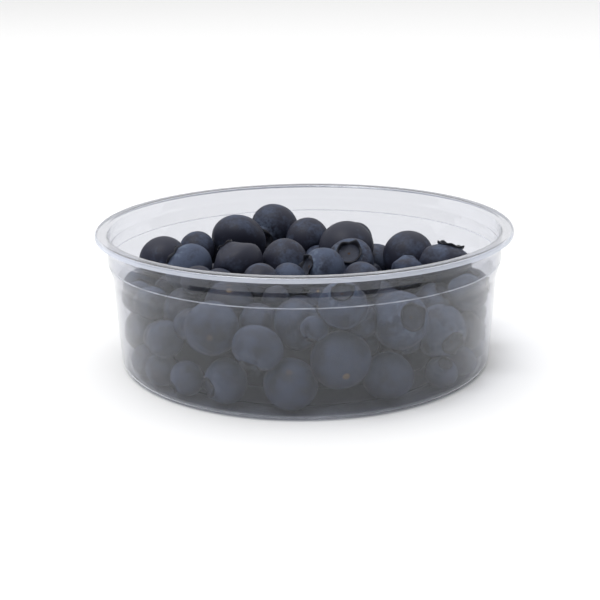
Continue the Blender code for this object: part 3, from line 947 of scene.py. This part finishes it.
def deep_berries():
    """Painted shade: the near-black of berries that lie too deep for light, lighter on each lump
    and darker between lumps.
    """
    finish = Finish("deep berries")
    place = finish.add("TexCoord").outputs["Object"]
    lumps = finish.add("TexVoronoi", {"feature": "SMOOTH_F1"}, Vector=place, Scale=90.0)
    # Painted shade: each lump is lighter on top and darker in the hollows between lumps.
    colour = finish.mix(lumps.outputs["Distance"], CORE_SHADE_LIGHT, CORE_SHADE_DARK)
    bump = finish.add("Bump", {"invert": True}, Distance=0.002, Height=lumps.outputs["Distance"])
    shader = finish.add(
        "BsdfPrincipled", Base_Color=colour, Roughness=0.7, Normal=bump.outputs[0], IOR=1.1
    )
    return finish.end(shader.outputs[0])


# ---- the studio


def add_piece(name, mesh, finish):
    mesh.materials.append(finish)
    made = bpy.data.objects.new(name, mesh)
    bpy.context.scene.collection.objects.link(made)
    return made


def add_floor():
    """A wide round pale table top under the tub."""
    finish = Finish("pale table")
    shader = finish.add("BsdfPrincipled", Base_Color=TABLE_COLOUR, Roughness=0.9)
    shape = bmesh.new()
    bmesh.ops.create_circle(shape, cap_ends=True, segments=TABLE_SIDES, radius=TABLE_RADIUS)
    mesh = bpy.data.meshes.new("table")
    shape.to_mesh(mesh)
    shape.free()
    floor = add_piece("table", mesh, finish.end(shader.outputs[0]))


def add_lamp(name, place, aim, size, power):
    lamp = bpy.data.lights.new(name, "AREA")
    lamp.shape = "RECTANGLE"
    lamp.size, lamp.size_y = size
    lamp.energy = power
    made = bpy.data.objects.new(name, lamp)
    made.location = place
    made.rotation_euler = (Vector(aim) - Vector(place)).to_track_quat("-Z", "Y").to_euler()
    bpy.context.scene.collection.objects.link(made)


def add_world():
    """A white room under a soft bright ceiling, dim only low down behind the camera."""
    world = bpy.data.worlds.new("studio")
    bpy.context.scene.world = world
    world.use_nodes = True
    tree = world.node_tree
    background = tree.nodes["Background"]
    place = tree.nodes.new("ShaderNodeTexCoord")
    parts = tree.nodes.new("ShaderNodeSeparateXYZ")
    tree.links.new(place.outputs["Generated"], parts.inputs[0])
    levels = []
    for axis, low, high, dark, bright in ROOM:
        level = tree.nodes.new("ShaderNodeMapRange")
        level.interpolation_type = "SMOOTHSTEP"
        ends = {"From Min": low, "From Max": high, "To Min": dark, "To Max": bright}
        for label, value in ends.items():
            level.inputs[label].default_value = value
        tree.links.new(parts.outputs[axis], level.inputs["Value"])
        levels.append(level)
    total = tree.nodes.new("ShaderNodeMath")
    for level, socket in zip(levels, total.inputs):
        tree.links.new(level.outputs["Result"], socket)
    # What is seen past the floor's edge is white, whatever the room's light.
    path = tree.nodes.new("ShaderNodeLightPath")
    seen = tree.nodes.new("ShaderNodeMath")
    seen.operation = "MAXIMUM"
    tree.links.new(total.outputs[0], seen.inputs[0])
    tree.links.new(path.outputs["Is Camera Ray"], seen.inputs[1])
    tree.links.new(seen.outputs[0], background.inputs["Strength"])
    background.inputs["Color"].default_value = (1, 1, 1, 1)


def add_camera():
    turns = (CAMERA_HEIGHT, CAMERA_PITCH, CAMERA_YAW, CAMERA_ROLL)
    height, pitch, yaw, roll = map(math.radians, turns)
    data = bpy.data.cameras.new("camera")
    data.lens = CAMERA_LENS
    data.sensor_width = CAMERA_SENSOR
    camera = bpy.data.objects.new("camera", data)
    flat = math.cos(pitch)
    ahead = Vector((math.sin(yaw) * flat, math.cos(yaw) * flat, -math.sin(pitch)))
    right = ahead.cross(Vector((0, 0, 1))).normalized()
    up = right.cross(ahead)
    level_right, level_up = right, up
    right = level_right * math.cos(roll) + level_up * math.sin(roll)
    up = level_up * math.cos(roll) - level_right * math.sin(roll)
    place = Vector((0, -CAMERA_DISTANCE * math.cos(height), CAMERA_DISTANCE * math.sin(height)))
    turned_to = Matrix((right, up, -ahead)).transposed().to_4x4()
    camera.matrix_world = Matrix.Translation(place) @ turned_to
    data.clip_start = 0.01
    bpy.context.scene.collection.objects.link(camera)
    bpy.context.scene.camera = camera


def main():
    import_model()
    tub = make_tub()
    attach(tub, "root")
    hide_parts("tub")
    for piece in make_berries():
        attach(piece, "root")
        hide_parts("blueberries")
    add_floor()
    add_world()
    add_lamp("softbox", LAMP_PLACE, LAMP_AIM, LAMP_SIZE, LAMP_POWER)
    add_camera()
    bpy.context.scene.view_settings.view_transform = "Standard"
    bpy.context.view_layer.update()


main()
